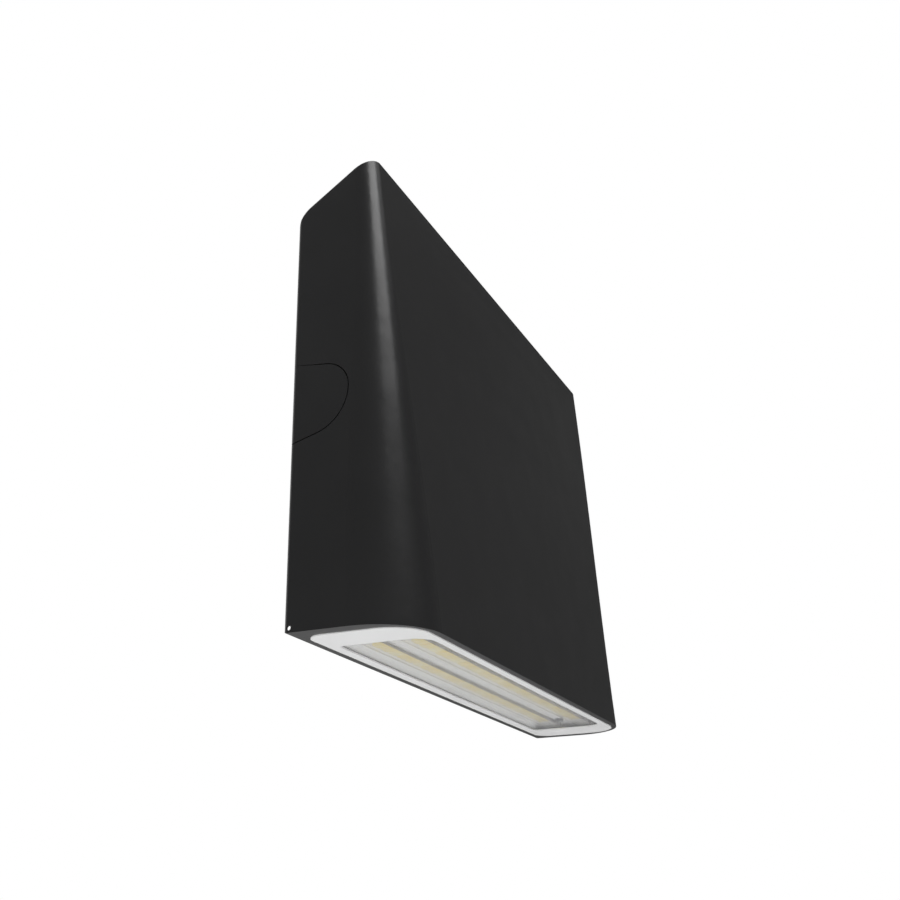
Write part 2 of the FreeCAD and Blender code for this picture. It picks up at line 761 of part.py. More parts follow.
def wall_plate():
    body = new_body("plate_tray")
    face = new_sketch(body, "plate_face_view", "XZ_Plane", "gasket_thickness")
    rectangle(face, "-plate_half", "plate_half", "plate_low", "plate_high")
    block = pad(body, face, "plate_thickness + plate_rim")
    round_edges(body, block, through_plate, "plate_corner", "plate_corners")
    inner = new_sketch(body, "plate_recess", "XZ_Plane", "rim_face")
    rectangle(inner, "-(plate_half - plate_rim_wall)", "plate_half - plate_rim_wall",
              "plate_low + plate_rim_wall", "plate_high - plate_rim_wall")
    pocket(body, inner, "plate_rim")
    holes = new_sketch(body, "plate_holes", "XZ_Plane", "rim_face")
    circle(holes, "0", "entry_height", "entry_hole")
    for x in ("-bolt_out", "bolt_out"):
        for z in ("entry_height - bolt_span_z / 2", "entry_height + bolt_span_z / 2"):
            circle(holes, x, z, "bolt_radius")
    for x in ("-box_span / 2", "box_span / 2"):
        circle(holes, x, "entry_height", "box_hole_radius")
    pocket(body, holes)

    arm = ("-(hinge_in + arm_depth / 2)", "-(hinge_in - arm_depth / 2)")

    def raised(side, sign):
        span = side_span(sign, "hinge_out - knuckle_width / 2", "hinge_out + knuckle_width / 2")
        return [
            rod(f"knuckle_{side}", "x", HINGE, "knuckle_radius", *span),
            box(f"arm_{side}", span, arm, ("plate_high - plate_rim_wall", "hinge_up")),
        ]
    ground_boss = rod("ground_boss", "y", ("ground_out", "ground_up"), "ground_boss_radius",
                      "-ground_seat", "-(gasket_thickness + plate_thickness / 2)")
    blank = fuse("plate_with_knuckles", [body, ground_boss, *both_sides(raised)])

    def bored(side, sign):
        return [
            rod(f"hub_seat_{side}", "x", CONDUIT, "conduit_bore + hub_wall + hub_fit",
                *side_span(sign, "hub_root - hub_fit", "half")),
            rod(f"knuckle_bore_{side}", "x", HINGE, "pin_radius + pin_play",
                *side_span(sign, "hinge_out - knuckle_width", "hinge_out + knuckle_width")),
            *[rod(f"rivet_hole_{side}_{end}", "x", (SPRING_MIDDLE, place), "rivet_radius + thread_gap",
                  *side_span(sign, "plate_half - plate_rim_wall - overcut",
                              "plate_half + overcut"))
              for end, place in RIVETS],
        ]
    ground_thread = rod("ground_bore", "y", ("ground_out", "ground_up"),
                        "ground_thread + thread_gap",
                        "-(ground_seat + overcut)", "-gasket_thickness")
    finish(cut("plate_casting", blank, [ground_thread, *both_sides(bored)]), "mounting_plate")


def conduit_hubs():
    """Threaded hubs for side conduits, let into the plate and seated on it with a foot."""
    def hub(side, sign):
        ring = rod(f"hub_ring_{side}", "x", CONDUIT, "conduit_bore + hub_wall",
                   *side_span(sign, "hub_root", "inside - hub_gap"))
        foot = box(f"hub_foot_{side}", side_span(sign, "hub_root", "hub_root + hub_foot_length"),
                   ("-(plate_face + hub_foot)", "-plate_face"),
                   ("conduit_up - hub_foot_half", "conduit_up + hub_foot_half"))
        bore = rod(f"hub_bore_{side}", "x", CONDUIT, "conduit_bore",
                   *side_span(sign, "hub_root - overcut", "half"))
        behind = box(f"hub_back_{side}", side_span(sign, "hub_root - overcut", "half"),
                     ("-gasket_thickness", "conduit_bore"),
                     ("conduit_up - hub_foot_half", "conduit_up + hub_foot_half"))
        return [cut(f"hub_{side}", fuse(f"hub_blank_{side}", [ring, foot]), [bore, behind])]
    finish(group("hubs", both_sides(hub)), "conduit_hubs")


def wall_gasket():
    body = new_body("gasket_ring")
    face = new_sketch(body, "gasket_face", "XZ_Plane")
    rectangle(face, "-(plate_half - gasket_inset)", "plate_half - gasket_inset",
              "plate_low + gasket_inset", "plate_high - gasket_inset")
    pad(body, face, "gasket_thickness")
    inner = new_sketch(body, "gasket_inner", "XZ_Plane", "gasket_thickness")
    rim = "(gasket_inset + gasket_band)"
    rectangle(inner, f"-(plate_half - {rim})", f"plate_half - {rim}",
              f"plate_low + {rim}", f"plate_high - {rim}")
    pocket(body, inner)
    finish(body, "wall_gasket")


def wire_entry_grommet():
    centre = ("0", "entry_height")
    lip = "entry_hole + grommet_lip"
    sleeve = rod("grommet_sleeve", "y", centre, "entry_hole - grommet_gap",
                 "-(plate_face + grommet_lip_thickness)", "0")
    front = rod("grommet_front", "y", centre, lip, "-(plate_face + grommet_lip_thickness)",
                "-plate_face")
    back = rod("grommet_back", "y", centre, lip, "-gasket_thickness", "0")
    bore = rod("grommet_bore_cut", "y", centre, "grommet_bore",
               "-(plate_face + grommet_lip_thickness + overcut)", "overcut")
    finish(cut("grommet", fuse("grommet_blank", [sleeve, front, back]), [bore]),
           "wire_entry_grommet")


def ground_screw():
    centre = ("ground_out", "ground_up")
    shank = rod("ground_shank", "y", centre, "ground_thread", "-ground_seat",
                "-(gasket_thickness + plate_thickness / 2)")
    head = rod("ground_head_blank", "y", centre, "ground_head_radius",
               "-(ground_seat + ground_head)", "-ground_seat")
    slot = box("ground_slot_cut",
               ("ground_out - ground_head_radius", "ground_out + ground_head_radius"),
               ("-(ground_seat + ground_head + overcut)", "-(ground_seat + ground_head / 2)"),
               ("ground_up - ground_slot / 2", "ground_up + ground_slot / 2"))
    finish(cut("ground_screw_cut", fuse("ground_screw_blank", [shank, head]), [slot]),
           "ground_screw")


SPRING_MIDDLE = "(-spring_in - spring_width / 2)"
RIVETS = (("low", "(spring_low + spring_foot / 2)"),
          ("high", "(spring_low + spring_length - spring_foot / 2)"))


def friction_springs():
    """Bowed leaf springs on the rim of the plate that rub on the side walls of the housing."""
    crest = "(inside - spring_clearance)"
    top = "(spring_low + spring_length)"
    middle = "(spring_low + spring_length / 2)"
    outer = [
        ("plate_half + spring_thickness", "spring_low"),
        ("plate_half + spring_thickness", "spring_low + spring_foot"),
        (crest, f"{middle} - spring_crest / 2"),
        (crest, f"{middle} + spring_crest / 2"),
        ("plate_half + spring_thickness", f"{top} - spring_foot"),
        ("plate_half + spring_thickness", top),
    ]
    inner = [(f"({x}) - spring_thickness", z) for x, z in reversed(outer)]
    springs = []
    for side, sign in (("left", "-"), ("right", "")):
        body = new_body(f"spring_{side}")
        view = new_sketch(body, f"spring_view_{side}", "XZ_Plane", "spring_in")
        outline(view, [(f"{sign}({x})", z) for x, z in outer + inner])
        block = pad(body, view, "spring_width")
        holes = new_sketch(body, f"spring_holes_{side}", "YZ_Plane",
                           f"{sign}(plate_half + spring_thickness + overcut)")
        for end, place in RIVETS:
            circle(holes, SPRING_MIDDLE, place, "rivet_radius + thread_gap")
        pocket(body, holes, "spring_thickness + 2 * overcut", along=bool(sign))
        springs.append(body)
    finish(group("springs", springs), "friction_springs")

    def rivets(side, sign):
        pieces = []
        for end, place in RIVETS:
            seat = "plate_half + spring_thickness"
            shank = rod(f"rivet_{side}_{end}", "x", (SPRING_MIDDLE, place), "rivet_radius",
                        *side_span(sign, "plate_half - plate_rim_wall", seat))
            head = rod(f"rivet_head_{side}_{end}", "x", (SPRING_MIDDLE, place),
                       "rivet_head_radius", *side_span(sign, seat, f"{seat} + rivet_head"))
            pieces.append(fuse(f"rivet_whole_{side}_{end}", [shank, head]))
        return pieces
    finish(group("rivets", both_sides(rivets)), "spring_rivets")


# ---------------------------------------------------------------- bezel, lens and light engine

WINDOW = ("lens_side", "lens_front", "lens_back")


def grown(by_side, by_ends):
    return (f"lens_side - ({by_side})", f"lens_front - ({by_ends})", f"lens_back - ({by_ends})")


def bezel():
    rim = ("rim_side + bezel_gap", "rim_front + bezel_gap", "rim_back + bezel_gap")
    blank = window_block("bezel_blank", *rim, "rim_corner_front - bezel_gap",
                         "rim_corner_back - bezel_gap", "-bezel_proud", "bezel_skirt_top")
    inner = [f"{inset} + bezel_skirt" for inset in rim]
    hollow = window_block("bezel_hollow", *inner, "rim_corner_front - bezel_gap - bezel_skirt",
                          "rim_corner_back - bezel_gap - bezel_skirt", "seal_face",
                          "bezel_skirt_top + overcut")
    opening = window_block("bezel_window", *grown("lens_gap", "lens_gap"),
                           "lens_corner_front + lens_gap", "lens_corner_back + lens_gap",
                           "-(bezel_proud + overcut)", "bezel_skirt_top")
    finish(cut("bezel_ring", blank, [hollow, opening]), "bezel")


def lens():
    window = window_block("lens_window", *WINDOW, "lens_corner_front", "lens_corner_back",
                          "0", "lens_seat + lens_flange / 2")
    flange = window_block("lens_rim", *grown("flange_side", "flange_ends"), "flange_corner",
                          "lens_corner_back", "lens_seat", "lens_back_face")
    finish(fuse("lens_whole", [window, flange]), "lens")


def lens_gasket():
    ring = window_block("seal_ring_blank", *grown("flange_side", "flange_ends"), "flange_corner",
                        "lens_corner_back", "seal_face", "lens_seat")
    opening = window_block("seal_ring_window", *grown("lens_gap", "lens_gap"),
                           "lens_corner_front + lens_gap", "lens_corner_back + lens_gap",
                           "0", "light_depth")
    finish(cut("lens_seal", ring, [opening]), "lens_gasket")


def stadium(name, middle, half, width, low, high):
    """A bar along X with round ends."""
    radius = f"({width}) / 2"
    straight = box(name + "_straight", (f"-({half} - {radius})", f"{half} - {radius}"),
                   (f"{middle} - {radius}", f"{middle} + {radius}"), (low, high))
    tips = [rod(f"{name}_end_{side}", "z", (f"{sign}({half} - {radius})", middle), radius, low, high)
            for side, sign in (("left", "-"), ("right", ""))]
    whole = fuse(name, [straight, *tips])
    whole.Refine = True
    return whole


ROWS = (("rear", "(-row_middle + row_pitch / 2)"), ("front", "(-row_middle - row_pitch / 2)"))


def reflector_tray():
    """Plate with a slot for each optic bar, ridges between them and a wall down to the lens."""
    blank = window_block("tray_blank", *grown("flange_side", "flange_ends"), "flange_corner",
                         "lens_corner_back", "lens_back_face", "board_face")
    hollow = window_block("tray_hollow", *grown("flange_side - tray_wall", "flange_ends - tray_wall"),
                          "flange_corner - tray_wall", "lens_corner_back / 2",
                          "0", "tray_face")
    slots = [stadium(f"bar_slot_{row}", middle, "bar_half + bar_gap", "bar_width + 2 * bar_gap",
                     "0", "light_depth") for row, middle in ROWS]
    holes = [rod(f"tray_hole_{side}", "z", (f"{sign}screw_{side}", "-row_middle"),
                 "screw_radius + screw_hole_gap", "0", "light_depth")
             for side, sign in (("left", "-"), ("right", ""))]
    ridges = [box(f"ridge_{number}",
                  ("-(screw_left - 2 * screw_head_radius)", "screw_right - 2 * screw_head_radius"),
                  (f"-row_middle - ridge_width / 2 + {place} * ridge_pitch",
                   f"-row_middle + ridge_width / 2 + {place} * ridge_pitch"),
                  ("tray_face - ridge_height", "tray_face + ridge_height"))
              for number, place in enumerate((-1, 0, 1))]
    shell = fuse("tray_ridged", [cut("tray_shell", blank, [hollow]), *ridges])
    finish(cut("tray_cut", shell, [*slots, *holes]), "reflector_tray")


def led_board():
    board = box("board_blank", ("-board_half", "board_half"),
                ("-row_middle - board_half_depth", "-row_middle + board_half_depth"),
                ("board_face", "light_depth"))
    holes = [rod(f"board_hole_{side}", "z", (f"{sign}screw_{side}", "-row_middle"),
                 "screw_radius + screw_hole_gap", "0", "shelf_top")
             for side, sign in (("left", "-"), ("right", ""))]
    finish(cut("board_cut", board, holes), "led_board")


COOL_EVERY = 3


def leds():
    """Two rows in which every third package is of the cool white colour."""
    count = int(value("(2 * (bar_half - led_end) - led_length) / led_pitch")) + 1
    packages = {"warm": [], "cool": []}
    for row, middle in ROWS:
        for index in range(count):
            place = f"({index} - {(count - 1) / 2}) * led_pitch"
            colour = "cool" if index % COOL_EVERY == COOL_EVERY - 1 else "warm"
            packages[colour].append(box(
                f"led_{row}_{index}",
                (f"{place} - led_length / 2", f"{place} + led_length / 2"),
                (f"{middle} - led_width / 2", f"{middle} + led_width / 2"),
                ("board_face - led_height", "board_face")))
    for colour, pieces in packages.items():
        finish(group(f"{colour}_packages", pieces), f"{colour}_leds")


def optic_bars():
    for row, middle in ROWS:
        bar = stadium(f"bar_{row}", middle, "bar_half", "bar_width", "tray_face - bar_proud",
                      "board_face - led_height - bar_gap / 2")
        doc.recompute()
        lowest = value("tray_face - bar_proud")
        rim = [(number, value("bar_round"), value("bar_round"))
               for number, edge in enumerate(bar.Shape.Edges, 1)
               if edge.BoundBox.ZMax < lowest + CLOSE]
        rounded = doc.addObject("Part::Fillet", f"bar_rounded_{row}")
        rounded.Base = bar
        rounded.Edges = rim
        finish(rounded, f"optic_bar_{row}")


def pan_screw(name, axis, centre, seat, tip, head_end):
    """A pan head screw: its shank from the seat to the tip, its head from the seat outwards."""
    def span(first, second):
        return (first, second) if value(first) < value(second) else (second, first)
    shank = rod(name + "_shank", axis, centre, "screw_radius", *span(seat, tip))
    head = rod(name + "_head", axis, centre, "screw_head_radius", *span(seat, head_end))
    return fuse(name, [shank, head])


def screws():
    board = [pan_screw(f"board_screw_{side}", "z", (f"{sign}screw_{side}", "-row_middle"),
                       "tray_face", "shelf_top + screw_boss - 2 * screw_tip_gap",
                       "tray_face - screw_head")
             for side, sign in (("left", "-"), ("right", ""))]
    finish(group("board_screw_pair", board), "board_screws")
    driver = [pan_screw(f"driver_screw_{side}", "y", (f"{sign}ear_out", "driver_middle"),
                        "-(ear_seat - ear_thickness)", "-(ear_seat + driver_screw_depth)",
                        "-(ear_seat - ear_thickness - screw_head)")
              for side, sign in (("left", "-"), ("right", ""))]
    finish(group("driver_screw_pair", driver), "driver_screws")


# ---------------------------------------------------------------- driver and switch

def driver():
    body = new_body("driver_block")
    plan = new_sketch(body, "driver_view", "XZ_Plane", "driver_back")
    rectangle(plan, "-driver_half", "driver_half", "driver_low", "driver_high")
    block = pad(body, plan, "driver_front - driver_back")
    round_edges(body, block, through_plate, "driver_round", "driver_corners")
    ears = box("driver_ears", ("-(driver_half + ear_length)", "driver_half + ear_length"),
               ("-ear_seat", "-(ear_seat - ear_thickness)"),
               ("driver_middle - ear_height / 2", "driver_middle + ear_height / 2"))
    holes = [rod(f"ear_hole_{side}", "y", (f"{sign}ear_out", "driver_middle"),
                 "screw_radius + screw_hole_gap", "-(ear_seat + overcut)",
                 "-(ear_seat - ear_thickness - overcut)")
             for side, sign in (("left", "-"), ("right", ""))]
    finish(cut("driver_cut", fuse("driver_blank", [body, ears]), holes), "driver_case")

    lid = new_body("driver_cover")
    view = new_sketch(lid, "lid_view", "XZ_Plane", "switch_seat")
    rectangle(view, "-(driver_half - driver_lid_inset)", "driver_half - driver_lid_inset",
              "driver_low + driver_lid_inset", "driver_high - driver_lid_inset")
    block = pad(lid, view, "driver_lid")
    round_edges(lid, block, through_plate, "driver_round - driver_lid_inset / 2", "lid_corners")
    finish(lid, "driver_lid")


SLIDERS = (("colour_slider", "-"), ("power_slider", ""))


def selector_switch():
    block = box("switch_blank", ("-switch_half", "switch_half"),
                ("-switch_seat", "-(switch_seat - switch_thickness)"),
                ("switch_up - switch_half_height", "switch_up + switch_half_height"))
    slots = []
    for name, sign in SLIDERS:
        middle = f"{sign}slider_out"
        slots.append(box(f"{name}_slot", (f"{middle} - slot_half", f"{middle} + slot_half"),
                         ("-(switch_seat - slot_floor)",
                          "-(switch_seat - switch_thickness - overcut)"),
                         ("switch_up - slot_half_height", "switch_up + slot_half_height")))
        knob = box(f"{name}_knob", (f"{middle} - slider_half", f"{middle} + slider_half"),
                   ("-(switch_seat - slot_floor - slider_play)",
                    "-(switch_seat - switch_thickness - slider_proud)"),
                   ("switch_up - slot_half_height + slider_play",
                    "switch_up + slot_half_height - slider_play"))
        finish(group(name, [knob]), name)
    finish(cut("switch_cut", block, slots), "selector_switch")


# ---------------------------------------------------------------- leads

BEND_SHARE = 0.45   # part of the shorter run next to a corner that its bend takes
SWEEP_ERROR = 0.02  # largest accepted error of a swept volume


def wire(name, points, radius):
    """A round lead through points, with an arc at each bend, as large as its runs allow."""
    places = [FreeCAD.Vector(*(value(part) for part in point)) for point in points]
    edges = []
    start = places[0]
    for before, corner, after in zip(places, places[1:], places[2:]):
        back = (before - corner).normalize()
        ahead = (after - corner).normalize()
        turn = math.pi - back.getAngle(ahead)
        run = min((before - corner).Length, (after - corner).Length)
        trim = BEND_SHARE * run
        bend = trim / math.tan(turn / 2)
        inner = corner + (back + ahead).normalize() * (bend / math.cos(turn / 2) - bend)
        edges.append(Part.makeLine(start, corner + back * trim))
        edges.append(Part.Arc(corner + back * trim, inner, corner + ahead * trim).toShape())
        start = corner + ahead * trim
    edges.append(Part.makeLine(start, places[-1]))
    path = Part.Wire(edges)
    ring = Part.Wire(Part.makeCircle(radius, places[0], places[1] - places[0]))
    lead = path.makePipeShell([ring], True, False)
    wanted = math.pi * radius ** 2 * path.Length
    if abs(lead.Volume - wanted) > SWEEP_ERROR * wanted:
        raise RuntimeError(f"{name} has a wrong volume")
    return made(name, lead)


def leads():
    radius = value("lead_radius")
    for colour, sign in (("red", ""), ("black", "-")):
        x = f"lead_hole_out + {sign}output_shift"
        y = f"-lead_hole_in + {sign}output_spread"
        z = f"output_up + {sign}output_spread"
        lead = wire(f"output_{colour}", [("driver_half", y, z), (x, y, z), (x, y, "light_depth")],
                    radius)
        finish(lead, f"output_lead_{colour}")
    supply = []
    for number in (-1, 0, 1):
        z = f"supply_up + {number} * supply_pitch"
        supply.append(wire(f"supply_{number + 1}", [
            ("-driver_half", "-supply_in", z),
            ("connector_right", "-supply_in", z)], radius))
    finish(group("supply_set", supply), "supply_leads")

    centre = ("lead_hole_out", "-lead_hole_in")
    sleeve = rod("lead_sleeve", "z", centre, "lead_sleeve", "light_depth", "lead_lip_top")
    lip = rod("lead_lip", "z", centre, "lead_sleeve + lead_grommet_lip", "shelf_top",
              "lead_lip_top")
    bore = rod("lead_bore", "z", centre, "lead_hole", "light_depth - overcut",
               "lead_lip_top + overcut")
    finish(cut("lead_ring", fuse("lead_ring_blank", [sleeve, lip]), [bore]), "lead_grommet")


def supply_connector():
    body = new_body("connector_block")
    view = new_sketch(body, "connector_view", "XZ_Plane", "connector_back")
    rectangle(view, "connector_left", "connector_right", "connector_low", "connector_high")
    block = pad(body, view, "connector_front - connector_back")
    block = round_edges(body, block, through_plate, "connector_round", "connector_corners")
    ports = new_sketch(body, "connector_ports", "YZ_Plane", "connector_left")
    for number in (-1, 0, 1):
        circle(ports, "-supply_in", f"supply_up + {number} * supply_pitch",
               "lead_radius + 2 * thread_gap")
    pocket(body, ports, "connector_length / 2", along=True)
    finish(body, "supply_connector")


for side, sign in (("left", "-"), ("right", "")):
    entry_cover(side, sign)
for make in (entry_seals, housing, heat_sink, hinge_pins, wall_plate, conduit_hubs, wall_gasket,
             wire_entry_grommet, ground_screw, friction_springs, bezel, lens, lens_gasket,
             reflector_tray, led_board, leds, optic_bars, screws, driver, selector_switch, leads,
             supply_connector):
    make()
doc.recompute()

for piece in doc.Objects:
    if {"Invalid", "Error"} & set(piece.State):
        raise RuntimeError(f"{piece.Name} failed: {piece.State}")
for piece in SUB_PARTS:
    if piece.Shape.isNull() or not piece.Shape.isValid():
        raise RuntimeError(f"{piece.Label} has no valid shape")

os.makedirs("parts", exist_ok=True)
for piece in SUB_PARTS:
    piece.Shape.exportStep(f"parts/{piece.Label}.step")
    print(piece.Label, len(piece.Shape.Solids), round(piece.Shape.Volume, 1))
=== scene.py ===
import math

import bpy
import numpy as np
from mathutils import Matrix, Vector


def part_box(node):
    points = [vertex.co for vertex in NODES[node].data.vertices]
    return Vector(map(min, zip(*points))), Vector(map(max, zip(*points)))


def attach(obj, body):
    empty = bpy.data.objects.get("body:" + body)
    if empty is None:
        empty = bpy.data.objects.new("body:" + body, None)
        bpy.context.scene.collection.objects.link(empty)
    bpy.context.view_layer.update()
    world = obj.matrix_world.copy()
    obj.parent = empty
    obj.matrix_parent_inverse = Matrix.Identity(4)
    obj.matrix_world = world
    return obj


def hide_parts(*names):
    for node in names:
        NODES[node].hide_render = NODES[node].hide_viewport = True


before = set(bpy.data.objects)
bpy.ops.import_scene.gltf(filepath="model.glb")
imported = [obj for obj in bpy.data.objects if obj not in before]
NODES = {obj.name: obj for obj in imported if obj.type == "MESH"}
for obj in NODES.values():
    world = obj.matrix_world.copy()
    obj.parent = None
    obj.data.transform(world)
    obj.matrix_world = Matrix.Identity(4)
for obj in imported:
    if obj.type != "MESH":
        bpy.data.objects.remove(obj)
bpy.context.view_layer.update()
bpy.context.scene.view_settings.view_transform = "Standard"

# ------------------------------------------------------------------ light paths

BOUNCES = 32                 # through the lens and the optic bars, in all
DIFFUSE_BOUNCES = 12         # round the white box behind the lens


def let_light_in():
    """Light reaches the white box behind the lens unblurred, and goes round in it many times."""
    cycles = bpy.context.scene.cycles
    cycles.blur_glossy = 0.0
    cycles.max_bounces = BOUNCES
    cycles.transmission_bounces = BOUNCES
    cycles.diffuse_bounces = DIFFUSE_BOUNCES


let_light_in()

# ------------------------------------------------------------------ camera

LENS = 50.94                                    # mm
SENSOR = 36                                     # mm
EYE = Vector((-0.49466, -0.21911, -0.18140))
YAW, PITCH, ROLL = 1.1693, 0.37649, -0.01139    # from +Y towards +X, upwards, about the view
NEAR, FAR = 0.01, 20


def make_camera():
    ahead = Vector((math.sin(YAW) * math.cos(PITCH), math.cos(YAW) * math.cos(PITCH), math.sin(PITCH)))
    right = Vector((math.cos(YAW), -math.sin(YAW), 0))
    up = right.cross(ahead)
    side = right * math.cos(ROLL) + up * math.sin(ROLL)
    top = -right * math.sin(ROLL) + up * math.cos(ROLL)
    turn = Matrix((side, top, -ahead)).transposed()
    data = bpy.data.cameras.new("camera")
    data.lens = LENS
    data.sensor_width = SENSOR
    data.clip_start, data.clip_end = NEAR, FAR
    camera = bpy.data.objects.new("camera", data)
    camera.matrix_world = Matrix.Translation(EYE) @ turn.to_4x4()
    bpy.context.scene.collection.objects.link(camera)
    bpy.context.scene.camera = camera


make_camera()

# ------------------------------------------------------------------ materials

NOISE_LOW, NOISE_HIGH = 0.3, 0.7                # noise is nearly always between these


class Nodes:
    """A material's node tree with short calls for the nodes used here."""

    def __init__(self, name):
        self.material = bpy.data.materials.new(name)
        self.material.use_nodes = True
        self.tree = self.material.node_tree
        self.tree.nodes.clear()
        self.out = self.add("ShaderNodeOutputMaterial")
        self.place = self.add("ShaderNodeTexCoord").outputs["Object"]

    def add(self, kind, **settings):
        node = self.tree.nodes.new(kind)
        for name, value in settings.items():
            setattr(node, name, value)
        return node

    def link(self, source, target):
        self.tree.links.new(source, target)

    def put(self, socket, value):
        if isinstance(value, bpy.types.NodeSocket):
            self.link(value, socket)
        else:
            socket.default_value = value

    def noise(self, scale, detail=2.0, stretch=None):
        """Noise in object space; scale is in features per metre."""
        node = self.add("ShaderNodeTexNoise")
        node.inputs["Scale"].default_value = scale
        node.inputs["Detail"].default_value = detail
        where = self.place
        if stretch:
            mapping = self.add("ShaderNodeMapping")
            mapping.inputs["Scale"].default_value = stretch
            self.link(self.place, mapping.inputs["Vector"])
            where = mapping.outputs["Vector"]
        self.link(where, node.inputs["Vector"])
        return node.outputs["Fac"]

    def between(self, fac, low, high):
        """Maps noise to a range."""
        node = self.add("ShaderNodeMapRange")
        self.link(fac, node.inputs["Value"])
        node.inputs["From Min"].default_value = NOISE_LOW
        node.inputs["From Max"].default_value = NOISE_HIGH
        node.inputs["To Min"].default_value = low
        node.inputs["To Max"].default_value = high
        return node.outputs["Result"]

    def mix(self, fac, first, second):
        node = self.add("ShaderNodeMix", data_type="RGBA")
        self.put(node.inputs["Factor"], fac)
        self.put(node.inputs["A"], first)
        self.put(node.inputs["B"], second)
        return node.outputs["Result"]

    def math(self, operation, first, second=0.0):
        node = self.add("ShaderNodeMath", operation=operation)
        self.put(node.inputs[0], first)
        self.put(node.inputs[1], second)
        return node.outputs[0]

    def bump(self, height, strength, distance):
        node = self.add("ShaderNodeBump")
        node.inputs["Strength"].default_value = strength
        node.inputs["Distance"].default_value = distance
        self.link(height, node.inputs["Height"])
        return node.outputs["Normal"]

    def shader(self, color, roughness, normal=None, **sockets):
        node = self.add("ShaderNodeBsdfPrincipled")
        self.put(node.inputs["Base Color"], color)
        self.put(node.inputs["Roughness"], roughness)
        if normal:
            self.link(normal, node.inputs["Normal"])
        for name, value in sockets.items():
            self.put(node.inputs[name.replace("_", " ")], value)
        self.link(node.outputs["BSDF"], self.out.inputs["Surface"])
        return self.material


def rgb(red, green, blue):
    return (red, green, blue, 1.0)


def varied(name, dark, light, rough, grain, depth, strength=0.35, patch=40.0, **sockets):
    """A finish with patches of slightly different tone and roughness and a fine grain."""
    n = Nodes(name)
    patches = n.noise(patch, 3.0)
    color = n.mix(n.between(patches, 0.0, 1.0), dark, light)
    roughness = n.between(n.noise(patch * 2.3, 2.0), rough[0], rough[1])
    normal = n.bump(n.noise(grain, 2.0), strength, depth)
    return n.shader(color, roughness, normal, **sockets)


def brushed(name, dark, light, rough, along):
    """Metal with fine lines along one axis."""
    n = Nodes(name)
    stretch = tuple(0.04 if axis == along else 1.0 for axis in "xyz")
    lines = n.noise(2500.0, 2.0, stretch)
    color = n.mix(n.between(lines, 0.0, 1.0), dark, light)
    roughness = n.between(n.noise(60.0), rough[0], rough[1])
    return n.shader(color, roughness, n.bump(lines, 0.3, 0.00003), Metallic=1.0)


def clear(name, tint, rough, ior=1.49):
    """Clear moulded plastic with faint unevenness from moulding."""
    n = Nodes(name)
    wave = n.noise(35.0, 1.0)
    roughness = n.between(n.noise(90.0), rough[0], rough[1])
    return n.shader(tint, roughness, n.bump(wave, 0.06, 0.0004), Transmission_Weight=1.0, IOR=ior)


def powder_coat(name):
    """Black powder coat: a fine orange peel, with tone and gloss a little uneven."""
    n = Nodes(name)
    patches = n.noise(22.0, 3.0)
    color = n.mix(n.between(patches, 0.0, 1.0), rgb(0.0108, 0.0108, 0.0112), rgb(0.0122, 0.0122, 0.0126))
    roughness = n.between(n.noise(50.0), 0.28, 0.32)
    peel = n.math("ADD", n.noise(900.0, 2.0), n.math("MULTIPLY", n.noise(3200.0, 1.0), 0.4))
    return n.shader(color, roughness, n.bump(peel, 0.10, 0.00012))


def phosphor(name, deep, pale):
    """The yellow gel of an LED package, with a fine grain."""
    n = Nodes(name)
    grain = n.noise(5000.0)
    color = n.mix(n.between(grain, 0.0, 1.0), deep, pale)
    return n.shader(color, 0.45, n.bump(grain, 0.2, 0.00004))


